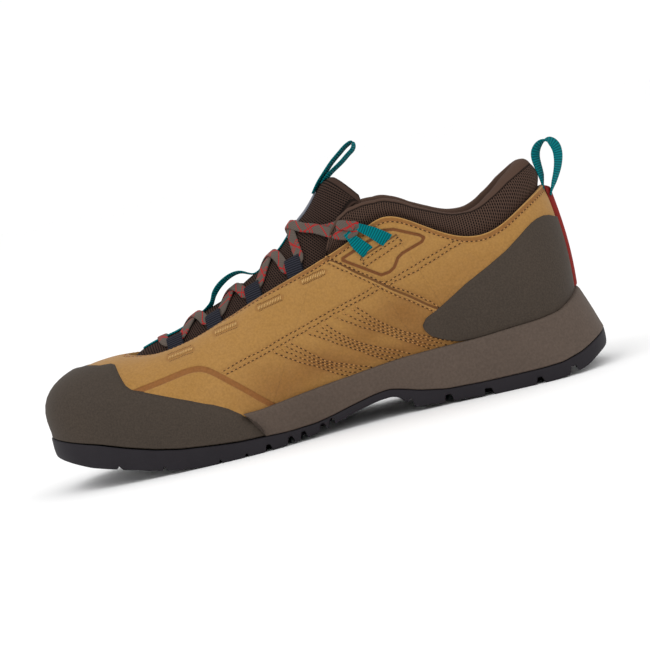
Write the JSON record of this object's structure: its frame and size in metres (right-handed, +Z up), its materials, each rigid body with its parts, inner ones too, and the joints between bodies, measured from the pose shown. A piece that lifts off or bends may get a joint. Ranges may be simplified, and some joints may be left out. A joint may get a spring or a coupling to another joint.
{
  "type": "approach shoe",
  "caption": "Low approach shoe for the right foot: tan nubuck upper, brown rubber toe rand and heel patch, padded mesh collar and tongue, cupped foam midsole, lugged black outsole.",
  "frame": {"origin": "centre of the bounding box in plan, on the floor under the tread", "axes": "+X runs from toe to heel, +Y from the inner to the outer side of the foot, +Z up"},
  "size_m": [0.299, 0.1074, 0.1445],
  "materials": {
    "rubber_black": "matte tread rubber",
    "foam_brown": "moulded foam skin",
    "rand_brown": "matte smooth rubber",
    "nubuck_tan": "nubuck nap with embossed lines and stitched seams",
    "mesh_brown": "padded spacer mesh",
    "webbing_teal": "ribbed webbing",
    "webbing_dark": "ribbed webbing",
    "lace_grey": "flat woven lace with a red zigzag",
    "strip_red": "satin strip",
    "patch_grey": "smooth bonded patch",
    "insole_grey": "knit insole cover"
  },
  "bodies": {
    "root": {"outsole": "rubber_black", "midsole": "foam_brown", "insole": "insole_grey", "upper": "nubuck_tan", "toe_rand": "rand_brown", "heel_patch_medial": "rand_brown", "heel_patch_lateral": "rand_brown", "heel_strip": "strip_red", "collar": "mesh_brown", "tongue": "mesh_brown", "tongue_patch": "patch_grey", "tongue_webbing": "webbing_teal", "tongue_loop": "webbing_teal", "heel_loop": "webbing_teal", "lace": "lace_grey", "lace_tab_medial_1": "webbing_dark", "lace_tab_medial_2": "webbing_dark", "lace_tab_medial_3": "webbing_dark", "lace_tab_medial_4": "webbing_dark", "lace_tab_lateral_1": "webbing_dark", "lace_tab_lateral_2": "webbing_dark", "lace_tab_lateral_3": "webbing_dark", "lace_tab_lateral_4": "webbing_dark", "ankle_loop_medial_lower": "webbing_teal", "ankle_loop_medial_upper": "webbing_teal", "ankle_loop_lateral_lower": "webbing_teal", "ankle_loop_lateral_upper": "webbing_teal"}
  },
  "joints": []
}
